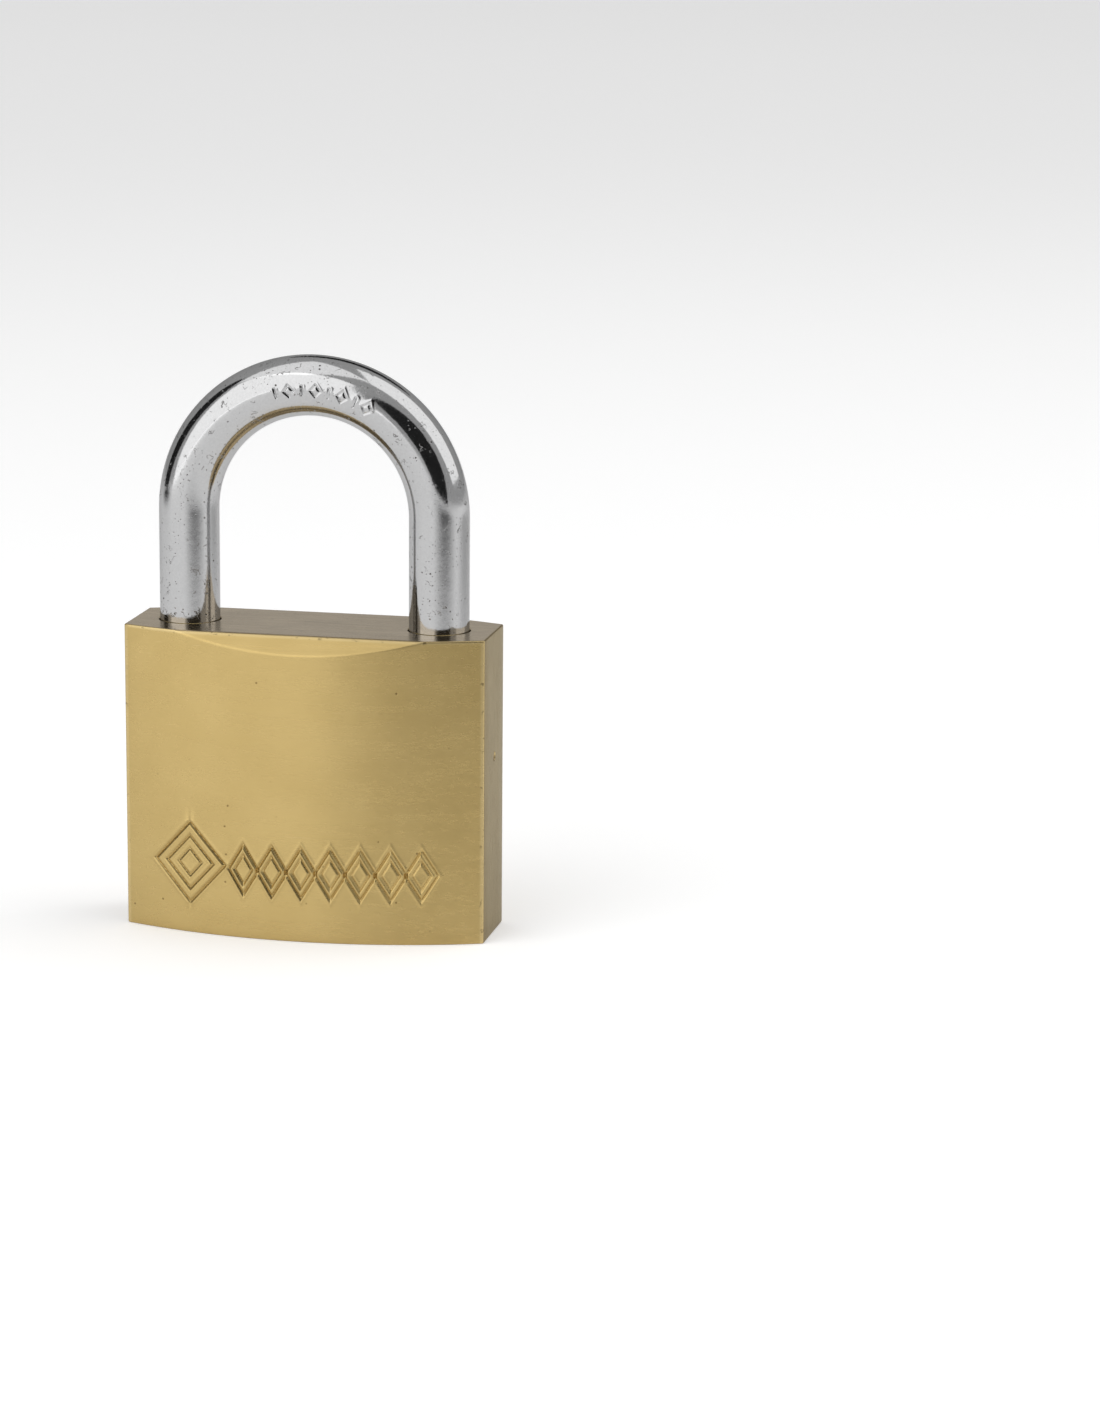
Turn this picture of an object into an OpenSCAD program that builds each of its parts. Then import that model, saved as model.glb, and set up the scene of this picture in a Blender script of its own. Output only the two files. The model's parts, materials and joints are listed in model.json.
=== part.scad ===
// Brass padlock: solid brass case, steel U-shackle lifted by a spring, two locking bolts drawn
// in by a cam, and a five-pin cylinder whose plug opens at the bottom.
// Origin: centre of the bottom face. +Z up, front face towards -Y, heel of the shackle at +X.
// The plug stands a quarter turn past its locked position, so the bolts are drawn in at rest.

/* [Case] */
// Width across the two flat sides
case_w = 50; // [49:0.5:54]
// Thickness at the flat sides
case_edge_t = 11.8; // [11.5:0.1:13]
// How far each broad face bulges out past the sides
case_bulge = 4.8; // [4:0.1:5]
// Height of the case
case_h = 41.8; // [41.5:0.1:44]
// Half thickness left on the top face between the two top facets
top_face_y = 8.4; // [8:0.1:8.8]

/* [Shackle] */
// Diameter of the round bar
bar_d = 8.2; // [7.8:0.1:8.4]
// Distance between the axes of the two legs
leg_gap = 34.8; // [34:0.1:35.2]
// Height of the bar's centre line at the crown above the case
crown_h = 32.6; // [26:0.1:50]
// How far the shackle rises when it is released
lift = 14.4; // [14.2:0.1:14.6]
// Radial clearance of the legs in their bores
leg_clear = 0.15; // [0.1:0.05:0.2]

/* [Cylinder] */
// Diameter of the plug
plug_d = 10.9; // [10.8:0.05:10.95]
// Length of the plug
plug_len = 26.6; // [26.4:0.1:26.8]
// Number of pin stacks is five; this is their spacing
pin_pitch = 4; // [3.8:0.1:4.1]
// Diameter of the pins
pin_d = 2.7; // [2.5:0.05:2.75]
// Width of the key slot
keyway_w = 2.2; // [2:0.1:2.4]

/* [Bolts] */
// Diameter of the locking bolts
bolt_d = 5.2; // [5:0.1:5.3]
// Height of the bolts' axis above the bottom
bolt_z = 33; // [32.9:0.1:33.1]
// Travel of each bolt between open and locked
bolt_travel = 1.8; // [1.7:0.1:1.8]

/* [Hidden] */
$fn = 96;
eps = 0.01;

brass = [0.76, 0.63, 0.36];
chrome = [0.80, 0.80, 0.82];
steel = [0.60, 0.60, 0.62];

// case
half_t = case_edge_t / 2;
face_y = half_t + case_bulge;                                   // furthest point of a broad face
face_r = (pow(case_w / 2, 2) + pow(case_bulge, 2)) / (2 * case_bulge);
function face_at(x) = sqrt(pow(face_r, 2) - x * x) - (face_r - face_y);   // broad face's y at x

// shackle
bar_r = bar_d / 2;
bore_r = bar_r + leg_clear;
leg_x = leg_gap / 2;
spring_line = case_h + crown_h - leg_x;                         // where the legs meet the bend
toe_tip = case_h - 13.2;
heel_tip = 12;
tip_chamfer = 1;
notch_depth = bolt_travel - 0.1;
notch_low = bolt_z - bolt_d / 2 - 0.2;
notch_high = bolt_z + bolt_d / 2 + 0.3;
neck_r = 2.4;                                                   // turned neck near the heel's end
neck_low = 15.8;
neck_high = 21.4;
heel_bore_floor = 5.5;
toe_bore_floor = toe_tip - 0.6;
wire_d = 0.9;                                                   // shackle spring wire

// heel retaining pin, across the outer side of the heel
retainer_r = 1.25;
retainer_x = leg_x + bar_r + retainer_r - 1.5;
retainer_z = neck_low + lift + retainer_r + 0.05;
retainer_front = -4;
flat_x = retainer_x - retainer_r - 0.15;
flat_high = retainer_z + retainer_r + 0.3;

// cylinder
plug_r = plug_d / 2;
plug_bore_r = plug_r + 0.05;
plug_low = 0.25;
plug_high = plug_low + plug_len;
plug_bore_top = plug_high + 0.15;
pin_r = pin_d / 2;
chamber_r = pin_r + 0.05;
first_pin_z = 5.5;
function pin_z(i) = first_pin_z + (i - 1) * pin_pitch;
key_cut = [1.2, 0.4, 1.7, 0.2, 0.9];                            // inner end of each key pin
keyway_low = -4.6;
keyway_high = 2.9;
driver_in = plug_bore_r + 0.06;
driver_out = driver_in + 4;
chamber_seal_in = 21;
chamber_spring_out = chamber_seal_in - 0.05;
groove_z = 24;                                                  // plug's retaining groove
plug_pin_r = 1;
plug_pin_x = plug_r + plug_pin_r - 0.75;
plug_pin_front = -4.5;
pin_side = 180;                                                 // the chambers run towards -X
open_turn = 90;                                                 // from locked to open

// cam and bolts
cam_r = 3.2;
cam_low = plug_high + 0.1;
cam_high = bolt_z - 2.8;
cam_bore_r = cam_r + 0.15;
tang_w = 3;                                                     // the cam's tang, let into the plug
tang_len = plug_d - 2;
tang_low = plug_high - 1.4;
drive_pin_at = bolt_travel;
drive_pin_r = 0.7;
drive_pin_high = bolt_z - 1.1;
bolt_r = bolt_d / 2;
bolt_bore_r = bolt_r + 0.1;
bolt_tip = leg_x - bar_r - 0.3;                                 // outer end when drawn in
bolt_shank_in = 4.6;
lap_gap = 0.12;                                                 // between the two lapped arms
lug_in = -2.6;
lug_face = -drive_pin_r - 0.05;
spring_hole_r = 1.3;
spring_hole_z = bolt_z + 0.9;
spring_hole_end = 9;
seal_in = leg_x + bore_r + 0.25;
seal_gap = 0.01;

// ---------------------------------------------------------------- helpers

// a cylinder along +X from x0 to x1
module rod_x(x0, x1, r) {
    translate([x0, 0, 0]) rotate([0, 90, 0]) cylinder(h = x1 - x0, r = r);
}

// a cylinder along +Y from y0 to y1
module rod_y(y0, y1, r) {
    translate([0, y0, 0]) rotate([-90, 0, 0]) cylinder(h = y1 - y0, r = r);
}

// draws along +X from the plug's axis, out through chamber i
module at_chamber(i) {
    translate([0, 0, pin_z(i)]) rotate([0, 0, pin_side]) children();
}

// height along a coil spring with one closed turn at each end, at t turns
function coil_z(t, turns, len, wire) =
    let (open = (len - 3 * wire) / (turns - 2))
    wire / 2 + (t <= 1 ? t * wire
              : t >= turns - 1 ? wire + (turns - 2) * open + (t - turns + 1) * wire
              : wire + (t - 1) * open);

// a coil spring along +Z from z = 0 to z = len: outer radius r, round wire
module coil(r, wire, len, turns, steps, sides) {
    mid = r - wire / 2;
    n = turns * steps;
    points = [
        for (i = [0:n], k = [0:sides - 1])
            let (a = 360 * i / steps, b = 360 * k / sides, out = mid + wire / 2 * cos(b))
            [out * cos(a), out * sin(a), coil_z(i / steps, turns, len, wire) + wire / 2 * sin(b)]
    ];
    walls = [
        for (i = [0:n - 1], k = [0:sides - 1])
            let (a = i * sides + k, b = i * sides + (k + 1) % sides)
            [a, b, b + sides, a + sides]
    ];
    polyhedron(points, concat(
        [[for (k = [0:sides - 1]) sides - 1 - k]],
        walls,
        [[for (k = [0:sides - 1]) n * sides + k]]), convexity = 10);
}

// ---------------------------------------------------------------- case

// the brass bar that the case is cut from: two broad cylindrical faces and two flat sides
module case_bar() {
    intersection() {
        translate([-case_w / 2, -face_y - 1, 0]) cube([case_w, 2 * face_y + 2, case_h]);
        translate([0, face_r - face_y, -1]) cylinder(h = case_h + 2, r = face_r, $fn = 360);
        translate([0, face_y - face_r, -1]) cylinder(h = case_h + 2, r = face_r, $fn = 360);
    }
}

// the 45 degree facet milled along the top of the front face
module top_facet() {
    translate([0, -top_face_y, case_h]) rotate([45, 0, 0])
        translate([-case_w / 2 - 1, -10, 0]) cube([case_w + 2, 20, 10]);
}

module case() {
    color(brass) difference() {
        case_bar();
        top_facet();
        mirror([0, 1, 0]) top_facet();
        translate([leg_x, 0, heel_bore_floor]) cylinder(h = case_h, r = bore_r);
        translate([-leg_x, 0, toe_bore_floor]) cylinder(h = case_h, r = bore_r);
        translate([0, 0, -1]) cylinder(h = plug_bore_top + 1, r = plug_bore_r);
        cylinder(h = bolt_z - 0.5, r = cam_bore_r);
        translate([0, 0, bolt_z]) rod_x(-case_w / 2 - 1, leg_x, bolt_bore_r);
        for (i = [1:5]) at_chamber(i) rod_x(2, case_w / 2 + 1, chamber_r);
        translate([retainer_x, 0, retainer_z]) rod_y(retainer_front - eps, face_y + 1, retainer_r + seal_gap);
        translate([plug_pin_x, 0, groove_z]) rod_y(plug_pin_front - eps, face_y + 1, plug_pin_r + seal_gap);
    }
}

module heel_retaining_pin() {
    color(steel) translate([retainer_x, 0, retainer_z])
        rod_y(retainer_front, face_at(retainer_x) - 0.35, retainer_r);
}

module plug_retaining_pin() {
    color(steel) translate([plug_pin_x, 0, groove_z])
        rod_y(plug_pin_front, face_at(plug_pin_x) - 0.2, plug_pin_r);
}

module bolt_bore_seal() {
    color(brass) translate([0, 0, bolt_z]) rod_x(-case_w / 2, -seal_in, bolt_bore_r - seal_gap);
}

// ---------------------------------------------------------------- shackle

module leg(x, low) {
    translate([x, 0, low]) cylinder(h = tip_chamfer, r1 = bar_r - tip_chamfer, r2 = bar_r);
    translate([x, 0, low + tip_chamfer]) cylinder(h = spring_line - low - tip_chamfer, r = bar_r);
}

// the notch that a locking bolt enters, on the inner side of the leg at +X
module bolt_notch() {
    translate([leg_x - bar_r - 1, -bar_r - 1, notch_low])
        cube([1 + notch_depth, bar_d + 2, notch_high - notch_low]);
}

module shackle() {
    color(chrome) difference() {
        union() {
            translate([0, 0, spring_line]) rotate([90, 0, 0])
                rotate_extrude(angle = 180) translate([leg_x, 0]) circle(r = bar_r);
            leg(-leg_x, toe_tip);
            leg(leg_x, heel_tip);
        }
        bolt_notch();
        mirror([1, 0, 0]) bolt_notch();
        // turned neck, which the retaining pin and the drawn-out bolt meet when the shackle is up
        translate([leg_x, 0, neck_low]) difference() {
            cylinder(h = neck_high - neck_low, r = bar_r + 1);
            translate([0, 0, -1]) cylinder(h = neck_high - neck_low + 2, r = neck_r);
        }
        // flat that slides past the retaining pin
        translate([flat_x, -bar_r - 1, neck_low]) cube([5, bar_d + 2, flat_high - neck_low]);
    }
}

module shackle_spring() {
    color(steel) translate([leg_x, 0, heel_bore_floor + 0.05])
        coil(bore_r - 0.35, wire_d, heel_tip - heel_bore_floor - 0.15, 5, 16, 8);
}

// ---------------------------------------------------------------- bolts

// the bolt at +X: a shank with a bevelled nose, and a lapped arm whose lug the cam draws
module bolt() {
    difference() {
        translate([0, 0, bolt_z]) rod_x(lug_in, bolt_tip, bolt_r);
        // lower room for the cam's drive pins
        translate([lug_face, -5, bolt_z - 5]) cube([bolt_shank_in - lug_face, 10, 4.4]);
        // lap: the other bolt's arm passes here
        translate([lug_in - 1, -5, bolt_z - 5]) cube([bolt_shank_in - lug_in + 1, 5 + lap_gap, 10]);
        translate([0, 0, spring_hole_z]) rod_x(lug_in - 1, spring_hole_end, spring_hole_r);
        // bevel that lets the closing shackle push the bolt in
        translate([bolt_tip, 0, bolt_z + bolt_r - 1.7]) rotate([0, -45, 0])
            translate([0, -5, 0]) cube([10, 10, 10]);
    }
}

module bolt_right() {
    color(steel) bolt();
}

module bolt_left() {
    color(steel) rotate([0, 0, 180]) bolt();
}

module bolt_spring() {
    color(steel) translate([-spring_hole_end + 0.1, 0, spring_hole_z]) rotate([0, 90, 0])
        coil(spring_hole_r - 0.15, 0.35, 2 * spring_hole_end - 0.2, 14, 10, 5);
}

// ---------------------------------------------------------------- cylinder

// the key slot's outline with its bitted edge towards +X
module keyway_outline() {
    w = keyway_w / 2;
    polygon([
        [keyway_low, -w], [-2.6, -w], [-2.2, -w + 0.7], [-1.2, -w + 0.7], [-0.8, -w],
        [keyway_high, -w], [keyway_high, w], [1, w], [0.6, w - 0.7], [-0.3, w - 0.7], [-0.7, w],
        [keyway_low, w]]);
}

module plug() {
    color(brass) rotate([0, 0, pin_side + open_turn]) difference() {
        translate([0, 0, plug_low]) cylinder(h = plug_len, r = plug_r);
        translate([0, 0, plug_low - 1]) linear_extrude(height = plug_len - 3.6) keyway_outline();
        for (i = [1:5]) translate([0, 0, pin_z(i)]) rod_x(0, plug_r + 1, chamber_r);
        // retaining groove
        translate([0, 0, groove_z - plug_pin_r - 0.1]) difference() {
            cylinder(h = 2 * plug_pin_r + 0.2, r = plug_r + 1);
            translate([0, 0, -1]) cylinder(h = 2 * plug_pin_r + 3, r = plug_r - 0.9);
        }
        // slot for the cam's tang
        translate([-tang_w / 2 - 0.05, -plug_r - 1, tang_low - 0.1]) cube([tang_w + 0.1, plug_d + 2, 5]);
        // countersunk key entry
        translate([0, 0, plug_low - eps]) cylinder(h = 0.6, r1 = 3.6, r2 = 3);
    }
}

module key_pin(i) {
    color(brass) rotate([0, 0, open_turn]) at_chamber(i) intersection() {
        union() {
            translate([key_cut[i - 1], 0, 0]) rotate([0, 90, 0]) cylinder(h = 0.8, r1 = 0.5, r2 = pin_r);
            rod_x(key_cut[i - 1] + 0.8, plug_r + 1, pin_r);
        }
        translate([0, 0, -5]) cylinder(h = 10, r = plug_r - 0.03);
    }
}

module driver_pin(i) {
    color(steel) at_chamber(i) rod_x(driver_in, driver_out, pin_r);
}

module pin_spring(i) {
    color(steel) at_chamber(i) translate([driver_out + 0.05, 0, 0]) rotate([0, 90, 0])
        coil(chamber_r - 0.15, 0.3, chamber_spring_out - driver_out - 0.05, 8, 10, 5);
}

module chamber_seal(i) {
    color(brass) at_chamber(i) rod_x(chamber_seal_in, case_w / 2, chamber_r - seal_gap);
}

// the disc that turns with the plug: its tang sits in the plug, its two drive pins draw the bolts
module cam() {
    color(steel) {
        rotate([0, 0, open_turn]) translate([-tang_w / 2, -tang_len / 2, tang_low])
            cube([tang_w, tang_len, cam_low - tang_low]);
        rotate([0, 0, open_turn]) translate([-tang_w / 2, -cam_r / 2, tang_low])
            cube([tang_w, cam_r, cam_low - tang_low + 1]);
        translate([0, 0, cam_low]) cylinder(h = cam_high - cam_low, r = cam_r);
        for (s = [-1, 1]) translate([0, s * drive_pin_at, cam_high - 0.1])
            cylinder(h = drive_pin_high - cam_high + 0.1, r = drive_pin_r);
    }
}

// ---------------------------------------------------------------- nodes

case();
shackle();
shackle_spring();
heel_retaining_pin();
bolt_left();
bolt_right();
bolt_spring();
bolt_bore_seal();
plug();
cam();
plug_retaining_pin();
for (i = [1:5]) {
    key_pin(i);
    driver_pin(i);
    pin_spring(i);
    chamber_seal(i);
}
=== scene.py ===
import json
import math

import bpy
import numpy as np
from mathutils import Matrix, Vector


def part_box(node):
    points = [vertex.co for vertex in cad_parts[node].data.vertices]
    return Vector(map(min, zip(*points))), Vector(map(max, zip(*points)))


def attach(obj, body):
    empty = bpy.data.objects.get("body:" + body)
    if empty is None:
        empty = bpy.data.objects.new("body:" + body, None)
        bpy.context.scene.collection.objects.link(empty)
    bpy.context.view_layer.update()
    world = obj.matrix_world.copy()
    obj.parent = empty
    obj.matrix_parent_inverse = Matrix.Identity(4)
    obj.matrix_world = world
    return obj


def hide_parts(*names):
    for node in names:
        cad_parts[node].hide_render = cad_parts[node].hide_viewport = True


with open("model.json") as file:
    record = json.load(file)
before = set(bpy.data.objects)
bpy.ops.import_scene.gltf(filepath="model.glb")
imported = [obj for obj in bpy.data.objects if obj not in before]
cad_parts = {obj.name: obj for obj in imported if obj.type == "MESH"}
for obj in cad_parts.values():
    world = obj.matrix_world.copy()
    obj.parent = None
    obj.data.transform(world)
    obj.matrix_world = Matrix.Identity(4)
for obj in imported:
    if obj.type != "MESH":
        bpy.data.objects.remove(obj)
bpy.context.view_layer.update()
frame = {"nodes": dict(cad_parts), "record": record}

MM = 0.001

# ------------------------------------------------------------------ sizes, in mm

# Case: lens-shaped seen from above, with a facet along the front and the back of its top edge
case_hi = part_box("case")[1]
CASE_X = case_hi.x / MM
CASE_H = case_hi.z / MM
FACE_Y = case_hi.y / MM
BULGE = 4.8  # how far the middle of a broad face stands out beyond its ends
HALF_T = 5.9  # half thickness at the sides
TOP_Y = 8.4  # half depth of the flat top
FACE_R = (CASE_X**2 + BULGE**2) / (2 * BULGE)
CORNER_R = 0.32  # rounding of the upright edges
CORNER_STEPS = 6
EDGE_R = 0.22  # rounding of the top and bottom edges
EDGE_STEPS = 5
CAP_INSET = 0.08  # one more ring inside that rounding, so that the caps shade flat
FACET_BLEND = 0.12  # width over which a broad face runs into its facet

# Shackle
shackle_lo, shackle_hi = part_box("shackle")
BAR_R = shackle_hi.y / MM
LEG_X = shackle_hi.x / MM - BAR_R
SPRING_LINE = shackle_hi.z / MM - BAR_R - LEG_X  # height where the legs run into the crown
HEEL_TIP = shackle_lo.z / MM
TOE_TIP = 28.6
NOTCH_LOW, NOTCH_HIGH, NOTCH_DEPTH = 2.8, 2.9, 1.7  # below and above the bolts' axis, and into the leg
NECK_LOW, NECK_HIGH, NECK_R = 15.8, 21.4, 2.4
FLAT_X, FLAT_TOP = 19.85, 33.05  # the heel's flat, from the neck up

# Bores in the case
LEG_BORE_R = BAR_R + 0.15
TOE_BORE_FLOOR = TOE_TIP - 0.6
HEEL_BORE_FLOOR = 5.5
PLUG_BORE_R, PLUG_BORE_H = 5.5, 27.0
BOLT_Z, BOLT_BORE_R = 33.0, 2.7
CAM_BORE_R = 3.35  # between the plug's bore and the bolts' bore
CHAMBER_R, CHAMBER_Z, CHAMBER_PITCH, CHAMBERS = 1.4, 5.5, 4, 5

# Stamped ornament on the front face: the heights it lies between, and where its lozenges are
ORNAMENT_LOW, ORNAMENT_HIGH = 4, 15.8
BIG_X, BIG_Z = -15.2, 9.9
ROW_X, ROW_Z, ROW_PITCH, ROW_COUNT = -7.35, 9.6, 4.05, 7


# ------------------------------------------------------------------ mesh helpers

def mesh_object(name, points, faces):
    """An object whose mesh has these points, given in mm."""
    mesh = bpy.data.meshes.new(name)
    mesh.from_pydata([tuple(float(c) * MM for c in p) for p in points], [], faces)
    mesh.validate()
    mesh.update()
    obj = bpy.data.objects.new(name, mesh)
    bpy.context.scene.collection.objects.link(obj)
    return obj


def loft(name, rings, spine=0.0):
    """A closed solid through equal rings of points. Each flat cap is fanned out from points on a
    line along X at its middle, from -spine to spine."""
    count = len(rings[0])
    points = np.concatenate(rings)
    faces = []
    for i in range(len(rings) - 1):
        a = i * count
        for k in range(count):
            j = (k + 1) % count
            faces.append((a + k, a + j, a + count + j, a + count + k))
    steps = max(1, round(spine))
    along = np.linspace(-spine, spine, steps) if steps > 1 else [0.0]
    for start, ring in ((0, rings[0]), (len(points) - count, rings[-1])):
        middle = (ring.min(0) + ring.max(0)) / 2
        first = len(points)
        line = np.array([middle + [x, 0, 0] for x in along])
        points = np.concatenate([points, line])
        near = np.abs(ring[:, None, 0] - line[None, :, 0]).argmin(1) + first
        for k in range(count):
            j = (k + 1) % count
            made = [(start + k, start + j, near[k])]
            if near[j] != near[k]:
                made.append((start + j, near[j], near[k]))
            for face in made:
                faces.append(tuple(int(v) for v in (face[::-1] if start == 0 else face)))
    return mesh_object(name, points, faces)


def turned(profile, centre, axis, sides=96):
    """A solid of revolution: profile is (distance along axis, radius) pairs from centre."""
    axis = Vector(axis).normalized()
    side = axis.orthogonal().normalized()
    other = axis.cross(side)
    rings = []
    for along, radius in profile:
        ring = []
        for k in range(sides):
            a = 2 * math.pi * k / sides
            out = side * math.cos(a) + other * math.sin(a)
            ring.append(Vector(centre) + axis * along + out * radius)
        rings.append(np.array([tuple(p) for p in ring]))
    return loft("cutter", rings)


def block(lo, hi):
    """A rectangular cutter."""
    (x0, y0, z0), (x1, y1, z1) = lo, hi
    ring = [(x0, y0), (x1, y0), (x1, y1), (x0, y1)]
    return loft("cutter", [np.array([(x, y, z) for x, y in ring]) for z in (z0, z1)])


def boolean(target, tool, operation):
    """Adds or takes away the tool's solid, and removes the tool."""
    step = target.modifiers.new("cut", "BOOLEAN")
    step.operation = operation
    step.solver = "MANIFOLD"
    step.object = tool
    bpy.context.view_layer.update()
    graph = bpy.context.evaluated_depsgraph_get()
    result = bpy.data.meshes.new_from_object(target.evaluated_get(graph))
    target.modifiers.clear()
    target.data = result
    target.data.materials.clear()
    bpy.data.objects.remove(tool)


def cut(target, tools):
    """Takes all the tools' solids out of target."""
    whole = tools[0]
    for tool in tools[1:]:
        boolean(whole, tool, "UNION")
    boolean(target, whole, "DIFFERENCE")


def smooth(obj):
    """Smooth shading with a crisp edge wherever two faces meet at more than 28 degrees."""
    obj.data.shade_smooth()
    obj.data.set_sharp_from_angle(angle=math.radians(28))


def soft_min(a, b, width):
    """The lower of a and b, with the corner between them rounded over the width."""
    h = np.clip(0.5 + 0.5 * (b - a) / width, 0, 1)
    return b * (1 - h) + a * h - width * h * (1 - h)


def span(start, stop, step):
    """Evenly spaced values from start towards stop, without stop."""
    count = max(1, round(abs(stop - start) / step))
    return list(np.linspace(start, stop, count, endpoint=False))


def stations(zones, stop):
    """Values through zones of (start, step) up to stop, which is the last one."""
    values = []
    for (start, step), (end, _) in zip(zones, zones[1:] + [(stop, None)]):
        values += span(start, end, step)
    return values + [stop]


# ------------------------------------------------------------------ case

def lozenge(x, z, half_x, half_z):
    """Signed distance from the outline of a lozenge, negative inside."""
    reach = math.hypot(half_x, half_z)
    return (np.abs(x) / half_x + np.abs(z) / half_z - 1) * half_x * half_z / reach


def swell(distance, width, height):
    """A smooth hump of this height along distance = 0."""
    return height * np.exp(-((distance / width) ** 2))


def groove(distance, width, depth):
    """Depth of a pressed line along distance = 0, with a low bank thrown up on both sides."""
    bank = swell(np.abs(distance) - 2.4 * width, 1.3 * width, 0.3 * depth)
    return swell(distance, width, depth) - bank


def stamped(x, z):
    """Depth of the ornament at x and height z: one large nested lozenge and a row of small ones."""
    depth = np.zeros_like(x)
    big = lozenge(x - BIG_X, z - BIG_Z, 5.2, 5.6)
    depth += groove(big, 0.16, 0.17) + groove(big + 1.3, 0.15, 0.15)
    inner = lozenge(x - BIG_X, z - BIG_Z, 1.7, 1.9)
    depth += groove(inner, 0.15, 0.14)
    depth -= swell(big + 0.65, 0.4, 0.08)
    for i in range(ROW_COUNT):
        small = lozenge(x - ROW_X - ROW_PITCH * i, z - ROW_Z, 2.15, 3.5)
        depth += groove(small, 0.15, 0.16) + groove(small + 0.8, 0.13, 0.12)
        depth -= swell(small + 0.4, 0.28, 0.08)
    return depth


def face_arc(x):
    """Half thickness of the case at x, without the facet."""
    return HALF_T + np.sqrt(FACE_R**2 - x * x) - (FACE_R - BULGE)


def half_depth(x, z):
    """Half thickness of the case at x and height z, with the facet along the top edge."""
    arc = face_arc(x)
    facet = TOP_Y + (CASE_H - z)
    return soft_min(arc, np.full_like(arc, facet), FACET_BLEND)


def case_outline(z):
    """The case's outline at height z, seen from above, counter-clockwise, with rounded corners."""
    slope = math.atan(CASE_X / math.sqrt(FACE_R**2 - CASE_X**2))
    reach = CORNER_R * math.tan(math.radians(45) - slope / 2)
    end = CASE_X - reach * math.cos(slope)
    # close columns over the ornament, closest over its row of small lozenges
    front = np.array(stations([(-end, 0.5), (-21, 0.1), (-9.6, 0.085), (19.9, 0.5)], end))
    back = np.array(stations([(end, 1.0)], -end))
    side = np.array(stations([(-HALF_T + reach, 3)], HALF_T - reach))
    centre = Vector((CASE_X - CORNER_R, -HALF_T + reach))
    turn = math.pi / 2 - slope
    corner = []
    for k in range(1, CORNER_STEPS):
        a = -turn + turn * k / CORNER_STEPS
        corner.append((centre.x + CORNER_R * math.cos(a), centre.y + CORNER_R * math.sin(a)))
    corner = np.array(corner)
    front_y = -half_depth(front, z)
    if ORNAMENT_LOW < z < ORNAMENT_HIGH:
        front_y = front_y + stamped(front, np.full_like(front, z))
    parts = [
        np.stack([front, front_y], 1),
        corner,
        np.stack([np.full_like(side, CASE_X), side], 1),
        (corner * [1, -1])[::-1],
        np.stack([back, half_depth(back, z)], 1),
        corner * [-1, -1],
        np.stack([np.full_like(side, -CASE_X), side[::-1]], 1),
        (corner * [-1, 1])[::-1],
    ]
    return np.concatenate(parts)


def inset(outline, amount):
    """The outline moved inwards by the amount."""
    along = np.roll(outline, -1, 0) - np.roll(outline, 1, 0)
    along /= np.linalg.norm(along, axis=1)[:, None]
    return outline + np.stack([-along[:, 1], along[:, 0]], 1) * amount


def case_rings():
    """The case's outlines from the bottom to the top."""
    rounding = []
    for k in range(1, EDGE_STEPS):
        a = math.radians(90 * k / EDGE_STEPS)
        rounding.append((EDGE_R * (1 - math.cos(a)), EDGE_R * (1 - math.sin(a))))
    # close rows over the ornament and up the facet, which starts above 38.9
    zones = [(EDGE_R, 1.0), (ORNAMENT_LOW, 0.12), (5.6, 0.092), (13.6, 0.12)]
    zones += [(ORNAMENT_HIGH, 2.0), (38.9, 0.15)]
    levels = [(0.0, EDGE_R + CAP_INSET), (0.0, EDGE_R)] + rounding
    levels += [(z, 0.0) for z in stations(zones, CASE_H - EDGE_R)]
    levels += [(CASE_H - amount, rise) for rise, amount in rounding]
    levels += [(CASE_H, EDGE_R), (CASE_H, EDGE_R + CAP_INSET)]
    rings = []
    for z, amount in levels:
        outline = case_outline(z)
        if amount:
            outline = inset(outline, amount)
        rings.append(np.column_stack([outline, np.full(len(outline), z)]))
    return rings


def hole(centre, axis, length, radius, mouth, sides=96):
    """A drilled hole that starts at centre and runs along axis, with a broken edge at its mouth."""
    over = 1.0
    profile = [(-over, radius + mouth + over), (mouth, radius), (length, radius)]
    return turned(profile, centre, axis, sides)


def make_case():
    """The case with its bores, and a punch dimple on the right side."""
    case = loft("case_shell", case_rings(), CASE_X - 6)  # the caps' spine ends 6 mm from each side
    to_right, to_front, up, down = (1, 0, 0), (0, -1, 0), (0, 0, 1), (0, 0, -1)
    dimple = [(-0.9, 0.02), (-0.62, 0.62), (0, 1.0), (0.9, 1.2)]
    cutters = [
        hole((LEG_X, 0, CASE_H), down, CASE_H - HEEL_BORE_FLOOR, LEG_BORE_R, 0.12, 128),
        hole((-LEG_X, 0, CASE_H), down, CASE_H - TOE_BORE_FLOOR, LEG_BORE_R, 0.12, 128),
        hole((0, 0, 0), up, PLUG_BORE_H, PLUG_BORE_R, 0.12, 128),
        turned([(PLUG_BORE_H - 1, CAM_BORE_R), (BOLT_Z - 0.5, CAM_BORE_R)], (0, 0, 0), up),
        hole((-CASE_X, 0, BOLT_Z), to_right, CASE_X + LEG_X, BOLT_BORE_R, 0.05),
        hole((21.25, FACE_Y - 3.3, 31.5), to_front, 11.3, 1.26, 0.02, 48),  # heel's pin
        hole((5.7, FACE_Y - 0.25, 24.0), to_front, 14.95, 1.01, 0.02, 48),  # plug's pin
        turned(dimple, (CASE_X + 0.5, 0.4, 24.6), to_right, 32),
    ]
    for i in range(CHAMBERS):
        mouth = (-CASE_X, 0, CHAMBER_Z + CHAMBER_PITCH * i)
        cutters.append(hole(mouth, to_right, CASE_X - 2, CHAMBER_R, 0.04, 64))
    cut(case, cutters)
    smooth(case)
    return case


case = make_case()
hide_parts("case")
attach(case, "case")


# ------------------------------------------------------------------ shackle

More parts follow.
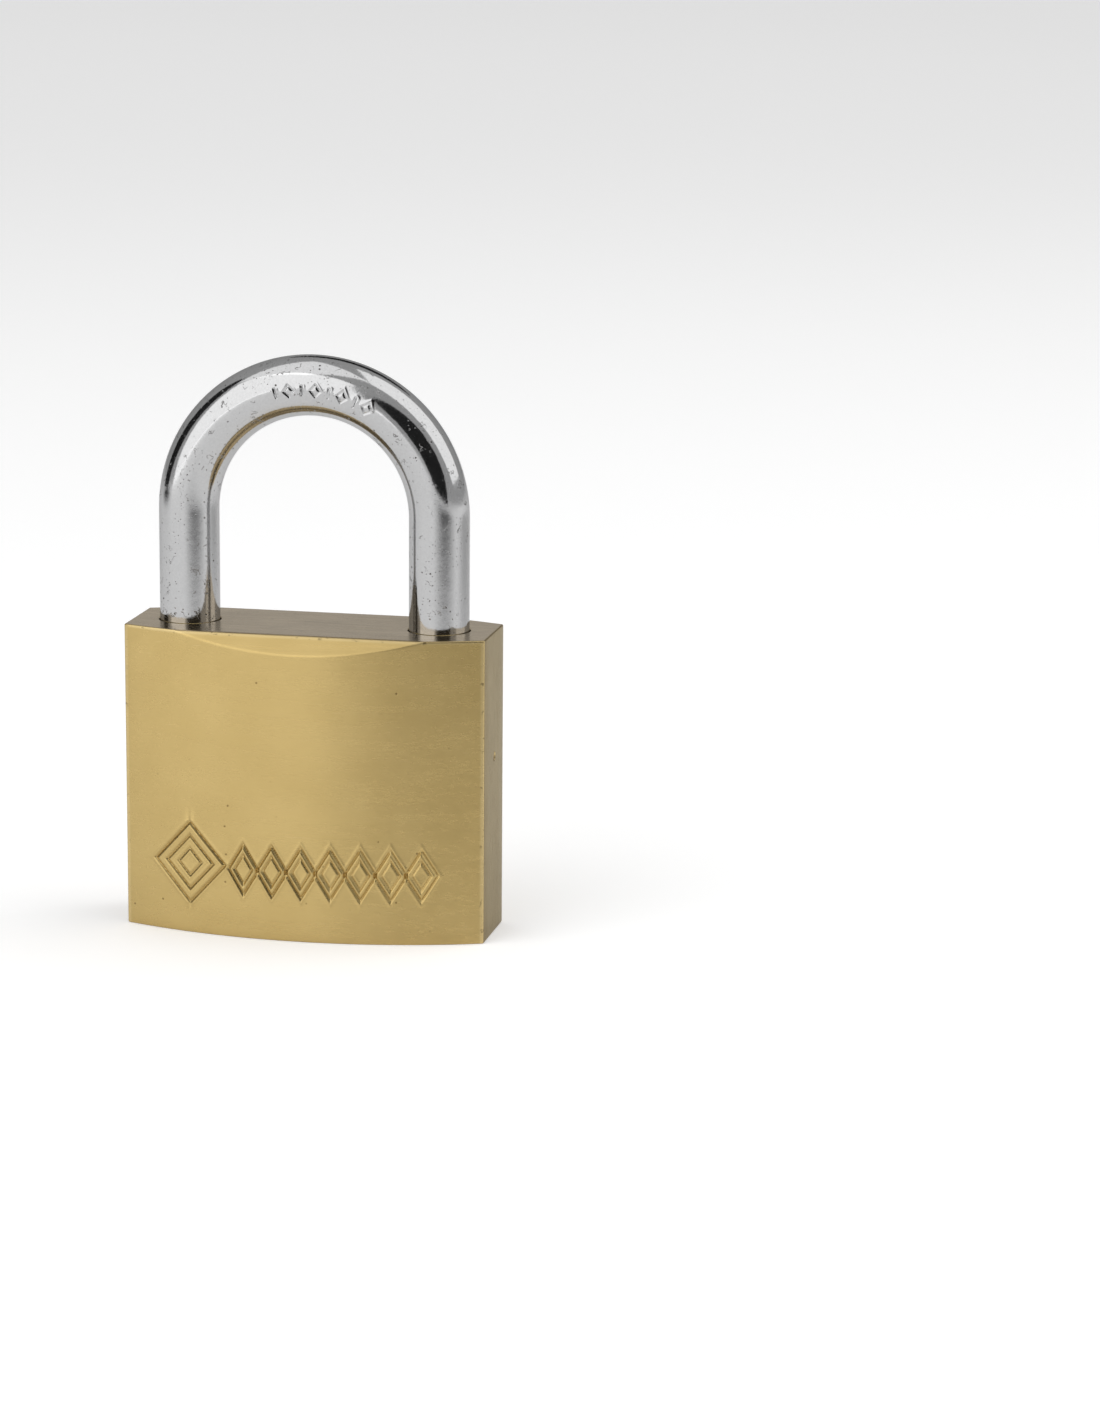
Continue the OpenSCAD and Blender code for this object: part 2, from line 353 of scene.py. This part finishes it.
# Stamped marks on the crown: from where to where along the bend, and how far round the bar
MARK_FROM, MARK_TO = math.radians(52), math.radians(113)
MARK_TILT = math.radians(93)
MARKS = 8
MARK_PITCH = 1.85


def crown_marks(angle, tilt):
    """Depth of the small stamped marks on the crown, bars and lozenges in turn."""
    along = ((MARK_FROM + MARK_TO) / 2 - angle) * (LEG_X + BAR_R * math.cos(MARK_TILT))
    across = (tilt - MARK_TILT) * BAR_R
    depth = np.zeros(np.broadcast(along, across).shape)
    for i in range(MARKS):
        x = along - (i - (MARKS - 1) / 2) * MARK_PITCH
        if i % 2:
            shape = np.abs(lozenge(x, across, 0.62, 0.8))
        else:
            shape = np.hypot(x, np.maximum(np.abs(across) - 0.62, 0))
        depth = depth + groove(shape, 0.13, 0.11)
    return depth


def shackle_rings():
    """Rings of the bar from the toe's tip, over the crown, to the heel's tip."""
    near = 0.42  # the bar's mesh is fine this far to both sides of the marks, in radians
    zones = [(-math.pi, 0.09), (MARK_TILT - near, 0.019), (MARK_TILT + near, 0.09)]
    tilts = np.array(stations(zones, math.pi)[:-1])

    def ring(radius, along_x, along_z):
        """X, Y and rise of one ring of the bar, whose outer side points along X and Z as given."""
        out = LEG_X + radius * np.cos(tilts)
        return out * along_x, -radius * np.sin(tilts), out * along_z

    def leg(tip):
        """Heights and radii from a chamfered tip up to the crown."""
        end = [(0, BAR_R - 1.0), (0.06, BAR_R - 0.9), (0.9, BAR_R - 0.06), (1.05, BAR_R)]
        shaft = [(z, BAR_R) for z in span(tip + 1.5, SPRING_LINE, 0.8)]
        return [(tip + rise, radius) for rise, radius in end] + shaft

    def leg_rings(side, levels):
        """The rings of one leg; side is -1 for the toe and 1 for the heel."""
        rings = []
        for z, radius in levels:
            x, y, _ = ring(radius, side, 0)
            rings.append(np.stack([x, y, np.full_like(x, z)], 1))
        return rings

    rings = leg_rings(-1, leg(TOE_TIP))
    zones = [(math.pi, 0.035), (MARK_TO + 0.03, 0.0052), (MARK_FROM - 0.03, 0.035)]
    for angle in stations(zones, 0)[:-1]:
        radius = BAR_R - crown_marks(angle, tilts)
        x, y, rise = ring(radius, math.cos(angle), math.sin(angle))
        rings.append(np.stack([x, y, SPRING_LINE + rise], 1))
    return rings + leg_rings(1, [(SPRING_LINE, BAR_R)] + leg(HEEL_TIP)[::-1])


def make_shackle():
    """The bar with its two bolt notches, and the turned neck and the flat on its heel."""
    shackle = loft("shackle_bar", shackle_rings())
    wide = BAR_R + 1
    low, high = BOLT_Z - NOTCH_LOW, BOLT_Z + NOTCH_HIGH
    notch = LEG_X - BAR_R + NOTCH_DEPTH
    heel, up = (LEG_X, 0, 0), (0, 0, 1)
    neck = turned([(NECK_LOW, 6.0), (NECK_HIGH, 6.0)], heel, up)
    core = turned([(NECK_LOW - 1, NECK_R), (NECK_HIGH + 1, NECK_R)], heel, up)
    boolean(neck, core, "DIFFERENCE")
    notches = [
        block((notch - 3, -wide, low), (notch, wide, high)),
        block((-notch, -wide, low), (-notch + 3, wide, high)),
    ]
    cut(shackle, notches)
    boolean(shackle, neck, "DIFFERENCE")
    flat = block((FLAT_X, -wide, NECK_LOW), (24, wide, FLAT_TOP))
    boolean(shackle, flat, "DIFFERENCE")
    smooth(shackle)
    return shackle


shackle = make_shackle()
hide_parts("shackle")
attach(shackle, "shackle")


# ------------------------------------------------------------------ materials

WHITE = (1, 1, 1, 1)
SIDE_TINT = (0.70, 0.67, 0.58, 1)  # what the sawn side faces reflect at a grazing angle


class Nodes:
    """Builds a material's node tree; positions are the object's own, in mm."""

    def __init__(self, name):
        self.material = bpy.data.materials.new(name)
        self.material.use_nodes = True
        self.tree = self.material.node_tree
        self.tree.nodes.clear()
        metres = self.new("ShaderNodeTexCoord").outputs["Object"]
        self.place = self.math_vector("MULTIPLY", metres, (1000, 1000, 1000))

    def new(self, kind, **settings):
        """A new node with these settings."""
        node = self.tree.nodes.new(kind)
        for key, value in settings.items():
            setattr(node, key, value)
        return node

    def set(self, socket, value):
        """Links the value to the socket if it is a socket, or else sets it."""
        if isinstance(value, bpy.types.NodeSocket):
            self.tree.links.new(value, socket)
        else:
            socket.default_value = value

    def math_vector(self, operation, a, b):
        """Vector maths on a and b."""
        node = self.new("ShaderNodeVectorMath", operation=operation)
        self.set(node.inputs[0], a)
        self.set(node.inputs[1], b)
        return node.outputs[0]

    def math(self, operation, a, b=0.0):
        """Maths on a and b."""
        node = self.new("ShaderNodeMath", operation=operation)
        for socket, value in zip(node.inputs, (a, b)):
            self.set(socket, value)
        return node.outputs[0]

    def apart(self):
        """The position's X, Y and Z."""
        node = self.new("ShaderNodeSeparateXYZ")
        self.set(node.inputs[0], self.place)
        return node.outputs

    def stretched(self, x, y, z):
        """The position with each axis scaled, for noise that is drawn out along the small ones."""
        return self.math_vector("MULTIPLY", self.place, (x, y, z))

    def noise(self, vector, scale, detail=3.0, roughness=0.55, distortion=0.0):
        """Fractal noise, about 0.5 on average."""
        node = self.new("ShaderNodeTexNoise")
        self.set(node.inputs["Vector"], vector)
        node.inputs["Scale"].default_value = scale
        node.inputs["Detail"].default_value = detail
        node.inputs["Roughness"].default_value = roughness
        node.inputs["Distortion"].default_value = distortion
        return node.outputs["Fac"]

    def spots(self, vector, scale, low, high):
        """1 inside small round spots, 0 elsewhere; not every cell has one."""
        node = self.new("ShaderNodeTexVoronoi")
        self.set(node.inputs["Vector"], vector)
        node.inputs["Scale"].default_value = scale
        near = self.ramp(node.outputs["Distance"], low, high, 1.0, 0.0)
        some = self.new("ShaderNodeSeparateColor")
        self.set(some.inputs[0], node.outputs["Color"])
        return self.math("MULTIPLY", near, self.ramp(some.outputs[0], 0.55, 0.7, 0.0, 1.0))

    def ramp(self, value, low, high, to_low=0.0, to_high=1.0):
        """The value taken from low..high to to_low..to_high, and held there beyond."""
        node = self.new("ShaderNodeMapRange")
        for socket, number in zip(node.inputs, (value, low, high, to_low, to_high)):
            self.set(socket, number)
        return node.outputs[0]

    def mix(self, amount, a, b):
        """Colour a where the amount is 0, b where it is 1."""
        node = self.new("ShaderNodeMix", data_type="RGBA")
        self.set(node.inputs[0], amount)
        self.set(node.inputs[6], a)
        self.set(node.inputs[7], b)
        return node.outputs[2]

    def bump(self, height, strength, distance, normal=None):
        """A normal tilted by the height; the distance is in mm."""
        node = self.new("ShaderNodeBump")
        node.inputs["Strength"].default_value = strength
        node.inputs["Distance"].default_value = distance * MM
        self.set(node.inputs["Height"], height)
        if normal is not None:
            self.set(node.inputs["Normal"], normal)
        return node.outputs[0]

    def metal(self, color, roughness, normal, anisotropic=0.0, tangent=None, edge=WHITE):
        """A metal; with a tangent, its reflections are drawn out at right angles to the tangent.
        Edge tints what it reflects at a grazing angle."""
        shader = self.new("ShaderNodeBsdfPrincipled")
        shader.inputs["Metallic"].default_value = 1.0
        shader.inputs["Anisotropic"].default_value = anisotropic
        shader.inputs["Anisotropic Rotation"].default_value = 0.25  # a quarter turn
        self.set(shader.inputs["Base Color"], color)
        self.set(shader.inputs["Specular Tint"], edge)
        self.set(shader.inputs["Roughness"], roughness)
        self.set(shader.inputs["Normal"], normal)
        if tangent is not None:
            self.set(shader.inputs["Tangent"], tangent)
        out = self.new("ShaderNodeOutputMaterial")
        self.tree.links.new(shader.outputs[0], out.inputs["Surface"])
        return self.material


def brushed_brass():
    """The two broad faces and their facets: fine brushing along X, faint scratches and pits."""
    n = Nodes("brass_brushed")
    fine = n.noise(n.stretched(0.07, 3.0, 5.0), 1.0, 4.0, 0.6)
    broad = n.noise(n.stretched(0.03, 0.5, 0.9), 1.0, 3.0)
    cloud = n.noise(n.place, 0.12, 3.0)
    pits = n.spots(n.place, 0.42, 0.05, 0.075)
    scratch = n.ramp(n.noise(n.stretched(0.06, 2.0, 3.2), 1.0, 1.0, 0.3, 0.4), 0.755, 0.795)
    color = n.mix(n.ramp(cloud, 0.35, 0.65), (0.475, 0.348, 0.141, 1), (0.505, 0.373, 0.155, 1))
    color = n.mix(n.ramp(fine, 0.3, 0.7, 0.0, 0.22), color, (0.455, 0.335, 0.135, 1))
    color = n.mix(n.math("MULTIPLY", scratch, 0.12), color, (0.70, 0.55, 0.30, 1))
    x, _, z = n.apart()
    corner = n.ramp(n.math("ABSOLUTE", x), CASE_X - 0.62, CASE_X - 0.35)
    lip = n.ramp(z, CASE_H - 0.5, CASE_H - 0.25)
    rim = n.math("MAXIMUM", corner, lip)
    nicks = n.ramp(n.noise(n.stretched(0.8, 1.0, 0.8), 1.0, 3.0, 0.7), 0.6, 0.66)
    nicks = n.math("MULTIPLY", rim, nicks)
    color = n.mix(n.math("MULTIPLY", rim, 0.35), color, (0.74, 0.60, 0.33, 1))
    color = n.mix(n.math("MULTIPLY", nicks, 0.7), color, (0.13, 0.09, 0.04, 1))
    color = n.mix(n.math("MULTIPLY", pits, 0.75), color, (0.16, 0.105, 0.04, 1))
    rough = n.math("ADD", n.ramp(fine, 0.3, 0.7, 0.25, 0.33), n.ramp(broad, 0.3, 0.7, -0.02, 0.03))
    marks = n.math("ADD", n.math("MULTIPLY", scratch, 0.3), n.math("MULTIPLY", pits, 3.0))
    marks = n.math("ADD", marks, n.math("MULTIPLY", nicks, 2.0))
    height = n.math("SUBTRACT", n.math("MULTIPLY", fine, 0.3), marks)
    normal = n.bump(height, 0.5, 0.012)
    tangent = n.new("ShaderNodeTangent", direction_type="RADIAL", axis="Z").outputs[0]
    return n.metal(color, rough, normal, 0.8, tangent)


def milled_brass():
    """The flat top, bottom and sides: duller, with saw and mill lines and a brown tarnish; the sides'
    darker colour is partly their sawn finish and partly painted shade.
    """
    n = Nodes("brass_milled")
    lines = n.noise(n.stretched(0.09, 4.0, 0.35), 1.0, 4.0, 0.65)
    side = n.noise(n.stretched(0.5, 5.0, 0.12), 1.0, 4.0, 0.6)
    cloud = n.noise(n.place, 0.2, 4.0, 0.6)
    pits = n.spots(n.place, 0.5, 0.06, 0.09)
    end = n.ramp(n.math("ABSOLUTE", n.apart()[0]), CASE_X - 0.25, CASE_X - 0.1)
    flat = n.mix(n.ramp(cloud, 0.35, 0.68), (0.52, 0.40, 0.23, 1), (0.44, 0.335, 0.185, 1))
    # darker colour on the upright sides: partly the sawn finish, partly painted shade that darkens the
    # sides
    sawn_and_shaded = n.mix(n.ramp(cloud, 0.35, 0.68), (0.30, 0.235, 0.14, 1), (0.255, 0.195, 0.112, 1))
    color = n.mix(n.ramp(lines, 0.4, 0.7, 0.0, 0.3), n.mix(end, flat, sawn_and_shaded), (0.24, 0.175, 0.10, 1))
    color = n.mix(n.math("MULTIPLY", pits, 0.8), color, (0.10, 0.07, 0.035, 1))
    rough = n.ramp(lines, 0.3, 0.7, 0.2, 0.3)
    height = n.math("SUBTRACT", n.math("ADD", lines, side), n.math("MULTIPLY", pits, 3.0))
    tint = n.mix(end, WHITE, SIDE_TINT)
    return n.metal(color, rough, n.bump(height, 0.5, 0.015), edge=tint)


def bored_brass():
    """Walls of the drilled holes: turned rings, darkened with oil."""
    n = Nodes("brass_bored")
    rings = n.noise(n.stretched(0.3, 0.3, 6.0), 1.0, 3.0)
    color = n.mix(n.ramp(rings, 0.3, 0.7), (0.30, 0.21, 0.09, 1), (0.42, 0.31, 0.14, 1))
    return n.metal(color, n.ramp(rings, 0.3, 0.7, 0.3, 0.45), n.bump(rings, 0.5, 0.02))


def chrome_plate():
    """Plated bar: bright, slightly wavy, with small black pits and hairline cracks."""
    n = Nodes("chrome_plate")
    wave = n.noise(n.place, 0.5, 2.0)
    grain = n.noise(n.place, 3.5, 3.0, 0.6)
    where = n.ramp(n.noise(n.place, 0.2, 2.0), 0.44, 0.54)
    pits = n.spots(n.place, 1.05, 0.11, 0.17)
    fine_pits = n.spots(n.math_vector("ADD", n.place, (7.3, 2.1, 4.4)), 2.3, 0.12, 0.2)
    bent = n.math_vector("ADD", n.place, (3.1, 5.7, 1.3))
    crack_line = n.math("ABSOLUTE", n.math("SUBTRACT", n.noise(bent, 0.45, 5.0, 0.6), 0.5))
    crack = n.math(
        "MULTIPLY",
        n.ramp(crack_line, 0.004, 0.010, 1.0, 0.0),
        n.ramp(n.noise(n.place, 0.5, 2.0), 0.58, 0.62),
    )
    dirt = n.math("MULTIPLY", n.math("MAXIMUM", pits, fine_pits), where)
    dirt = n.math("MAXIMUM", dirt, crack)
    color = n.mix(n.ramp(grain, 0.3, 0.7), (0.445, 0.445, 0.447, 1), (0.49, 0.49, 0.492, 1))
    color = n.mix(n.math("MULTIPLY", dirt, 0.9), color, (0.05, 0.045, 0.04, 1))
    rough = n.math("ADD", n.ramp(grain, 0.3, 0.7, 0.07, 0.13), n.math("MULTIPLY", dirt, 0.3))
    normal = n.bump(wave, 0.25, 0.05)
    normal = n.bump(n.math("SUBTRACT", n.math("MULTIPLY", grain, 0.15), dirt), 0.6, 0.03, normal)
    return n.metal(color, rough, normal, edge=(0.68, 0.68, 0.68, 1))


def turned_brass():
    """The plug and the key pins: lathe rings round the axis."""
    n = Nodes("brass_turned")
    x, y, z = n.apart()
    squares = n.math("ADD", n.math("POWER", x, 2.0), n.math("POWER", y, 2.0))
    ring_place = n.new("ShaderNodeCombineXYZ")
    n.set(ring_place.inputs[0], n.math("SQRT", squares))
    n.set(ring_place.inputs[2], z)
    rings = n.noise(ring_place.outputs[0], 5.0, 3.0)
    wear = n.noise(n.place, 0.7, 3.0)
    color = n.mix(n.ramp(rings, 0.3, 0.7), (0.66, 0.50, 0.23, 1), (0.76, 0.60, 0.31, 1))
    color = n.mix(n.ramp(wear, 0.5, 0.75, 0.0, 0.5), color, (0.45, 0.33, 0.15, 1))
    return n.metal(color, n.ramp(rings, 0.3, 0.7, 0.2, 0.34), n.bump(rings, 0.5, 0.012))


def ground_steel():
    """Bolts, cam, retaining pins and driver pins."""
    n = Nodes("steel_ground")
    grind = n.noise(n.stretched(0.6, 4.0, 4.0), 1.0, 4.0, 0.6)
    oil = n.noise(n.place, 0.5, 3.0)
    color = n.mix(n.ramp(oil, 0.4, 0.7), (0.56, 0.56, 0.57, 1), (0.40, 0.39, 0.38, 1))
    return n.metal(color, n.ramp(grind, 0.3, 0.7, 0.2, 0.36), n.bump(grind, 0.4, 0.012))


def spring_wire():
    """Drawn wire of the springs."""
    n = Nodes("steel_wire")
    draw = n.noise(n.place, 4.0, 3.0)
    color = n.mix(n.ramp(draw, 0.35, 0.7), (0.50, 0.50, 0.52, 1), (0.36, 0.35, 0.35, 1))
    return n.metal(color, n.ramp(draw, 0.3, 0.7, 0.22, 0.38), n.bump(draw, 0.4, 0.01))


def sealed_brass():
    """Plugs pressed into the drilled holes and dressed off with the side face."""
    n = Nodes("brass_seal")
    lines = n.noise(n.stretched(0.5, 5.0, 0.12), 1.0, 4.0, 0.6)
    cloud = n.noise(n.place, 0.4, 3.0)
    color = n.mix(n.ramp(cloud, 0.35, 0.68), (0.40, 0.31, 0.18, 1), (0.34, 0.265, 0.15, 1))
    rough = n.ramp(lines, 0.3, 0.7, 0.2, 0.3)
    return n.metal(color, rough, n.bump(lines, 0.5, 0.012), edge=SIDE_TINT)


def paint_case(obj):
    """Brushed faces front and back, milled top, bottom and sides, bored walls inside."""
    for material in (brushed_brass(), milled_brass(), bored_brass()):
        obj.data.materials.append(material)
    count = len(obj.data.polygons)
    normal = np.zeros(count * 3, np.float32)
    centre = np.zeros(count * 3, np.float32)
    obj.data.polygons.foreach_get("normal", normal)
    obj.data.polygons.foreach_get("center", centre)
    normal = normal.reshape(-1, 3)
    centre = centre.reshape(-1, 3) / MM
    slots = np.where(np.abs(normal[:, 1]) > 0.55, 0, 1)  # facing front or back, or not
    arc = face_arc(np.clip(centre[:, 0], -CASE_X, CASE_X))
    skin = np.minimum(arc, TOP_Y + CASE_H - centre[:, 2])
    # a bored face lies deeper in the case than the rounding of its edges, from every side
    inside = (
        (np.abs(centre[:, 0]) < CASE_X - 0.5)
        & (centre[:, 2] > 0.3)
        & (centre[:, 2] < CASE_H - 0.3)
        & (np.abs(centre[:, 1]) < skin - 0.45)
    )
    slots[inside] = 2
    obj.data.polygons.foreach_set("material_index", slots.astype(np.int32))


paint_case(case)
shackle.data.materials.append(chrome_plate())

# The other parts keep their CAD shapes, with a finish for each material slot of the record.
FINISH = {
    "plug_brass": turned_brass(),
    "pin_steel": ground_steel(),
    "spring_steel": spring_wire(),
    "case_brass": sealed_brass(),
}
for part in frame["record"]["subparts"]:
    node = frame["nodes"][part["node"]]
    if part["material_slot"] in FINISH and not node.hide_render:
        node.data.materials.clear()
        node.data.materials.append(FINISH[part["material_slot"]])


# ------------------------------------------------------------------ studio

# Sizes and places are in metres here, and turns in degrees, except for the floor.
AIM = Vector((0, 0, 0.05))  # the point that the cards and the panels face
CARD_DISTANCE = 1.4
PANEL_DISTANCE = 1.1
PANEL_POWER = 3.14  # watts per square metre at a strength of 1
FLAG_Z = 0.0001  # the flags' height over the lock's underside
FLOOR_HALF, FLOOR_Z = 9000, -0.02  # in mm
UP = Vector((0, 0, 1))
CIRCLE = [(math.cos(math.tau * k / 48), math.sin(math.tau * k / 48)) for k in range(48)]


def direction(azimuth, elevation):
    """The unit vector towards a point round the lock. Azimuth 0 is in front, 90 at +X."""
    a, e = math.radians(azimuth), math.radians(elevation)
    return Vector((math.sin(a) * math.cos(e), -math.cos(a) * math.cos(e), math.sin(e)))


def plain(name, shade, glow=0.0):
    """A matt grey, with an even white glow if one is given."""
    material = bpy.data.materials.new(name)
    material.use_nodes = True
    shader = material.node_tree.nodes["Principled BSDF"]
    shader.inputs["Base Color"].default_value = (shade, shade, shade, 1)
    shader.inputs["Roughness"].default_value = 0.9
    if glow:
        shader.inputs["Emission Color"].default_value = WHITE
        shader.inputs["Emission Strength"].default_value = glow
    return material


def card(name, azimuth, elevation, half_w, half_h, material):
    """An oval card that faces the lock and shows only in reflections."""
    a = math.radians(azimuth)
    out = direction(azimuth, elevation)
    right = Vector((math.cos(a), math.sin(a), 0))
    up = out.cross(right) * -1
    centre = AIM + out * CARD_DISTANCE
    points = []
    for x, y in CIRCLE:
        points.append(tuple((centre + right * (half_w * x) + up * (half_h * y)) / MM))
    obj = mesh_object(name, points, [tuple(range(len(points)))])
    obj.data.materials.append(material)
    obj.visible_camera = False


def flag(name, azimuth, distance, half_along, half_across, shade):
    """A soft-edged dark oval on the floor that shows only in reflections."""
    out = direction(azimuth, 0)
    rim = [(x / MM, y / MM, 0) for x, y in CIRCLE]
    obj = mesh_object(name, rim, [tuple(range(len(rim)))])
    turn = Matrix((out * half_along, UP.cross(out) * half_across, UP)).transposed()
    place = Matrix.Translation(out * distance + Vector((0, 0, FLAG_Z)))
    obj.matrix_world = place @ turn.to_4x4()
    n = Nodes(name)
    reach = n.new("ShaderNodeVectorMath", operation="LENGTH")
    n.set(reach.inputs[0], n.new("ShaderNodeTexCoord").outputs["Object"])
    soft = n.new("ShaderNodeMapRange", interpolation_type="SMOOTHSTEP")
    for socket, value in zip(soft.inputs, (reach.outputs["Value"], 0.15, 1.0, 1.0, 0.0)):
        n.set(socket, value)
    cloth = n.new("ShaderNodeBsdfDiffuse")
    cloth.inputs["Color"].default_value = (shade, shade, shade, 1)
    mixed = n.new("ShaderNodeMixShader")
    n.set(mixed.inputs[0], soft.outputs[0])
    n.set(mixed.inputs[1], n.new("ShaderNodeBsdfTransparent").outputs[0])
    n.set(mixed.inputs[2], cloth.outputs[0])
    n.set(n.new("ShaderNodeOutputMaterial").inputs["Surface"], mixed.outputs[0])
    obj.data.materials.append(n.material)
    obj.visible_camera = obj.visible_shadow = obj.visible_diffuse = False


def panel(name, azimuth, elevation, size_x, size_y, strength):
    """A rectangular lamp that faces the lock; its power grows with its area."""
    light = bpy.data.lights.new(name, "AREA")
    light.shape = "RECTANGLE"
    light.size = size_x
    light.size_y = size_y
    light.energy = strength * PANEL_POWER * size_x * size_y
    obj = bpy.data.objects.new(name, light)
    out = direction(azimuth, elevation)
    obj.location = AIM + out * PANEL_DISTANCE
    obj.rotation_mode = "QUATERNION"
    obj.rotation_quaternion = out.to_track_quat("Z", "Y")
    bpy.context.scene.collection.objects.link(obj)


ground = [(x * FLOOR_HALF, y * FLOOR_HALF, FLOOR_Z) for x, y in ((-1, -1), (1, -1), (1, 1), (-1, 1))]
floor = mesh_object("floor", ground, [(0, 1, 2, 3)])
floor.data.materials.append(plain("floor_white", 0.93, 0.24))

black = plain("card_black", 0.01)
card("card_right", 30, 15, 0.68, 0.62, black)
card("card_left", -91, 15, 0.34, 0.88, black)
card("card_back", 180, 38, 0.53, 0.20, black)

flag("flag_right", 36, 0.45, 0.34, 0.33, 0.2)
flag("flag_left", -84, 0.85, 0.55, 0.34, 0.02)
flag("flag_back", 122, 0.36, 0.26, 0.26, 0.72)

panel("panel_left", -34, 24, 1.25, 1.1, 1.15)
panel("panel_right", 103, 44, 1.0, 1.5, 1.0)
panel("panel_top", -50, 70, 0.9, 0.9, 0.85)

world = bpy.data.worlds.new("studio")
world.use_nodes = True
world.node_tree.nodes["Background"].inputs["Color"].default_value = WHITE
world.node_tree.nodes["Background"].inputs["Strength"].default_value = 0.52
bpy.context.scene.world = world
bpy.context.scene.view_settings.view_transform = "Standard"

# The photograph's camera, fitted to the case's corners, the legs and the crown
CAMERA_AT = Vector((0.14566, -0.55877, 0.15622))
CAMERA_AZIMUTH, CAMERA_ELEVATION, CAMERA_ROLL = 11.4272, 12.3533, 0.4456  # degrees
camera_data = bpy.data.cameras.new("camera")
camera_data.lens = 109.758
camera_data.sensor_width = 36
camera_data.clip_start = 0.05
camera_data.clip_end = 30
camera = bpy.data.objects.new("camera", camera_data)
back = direction(CAMERA_AZIMUTH, CAMERA_ELEVATION)
right = UP.cross(back).normalized()
up = back.cross(right)
roll = math.radians(CAMERA_ROLL)
turned_right = right * math.cos(roll) + up * math.sin(roll)
turned_up = up * math.cos(roll) - right * math.sin(roll)
turn = Matrix((turned_right, turned_up, back)).transposed()
camera.matrix_world = Matrix.Translation(CAMERA_AT) @ turn.to_4x4()
bpy.context.scene.collection.objects.link(camera)
bpy.context.scene.camera = camera
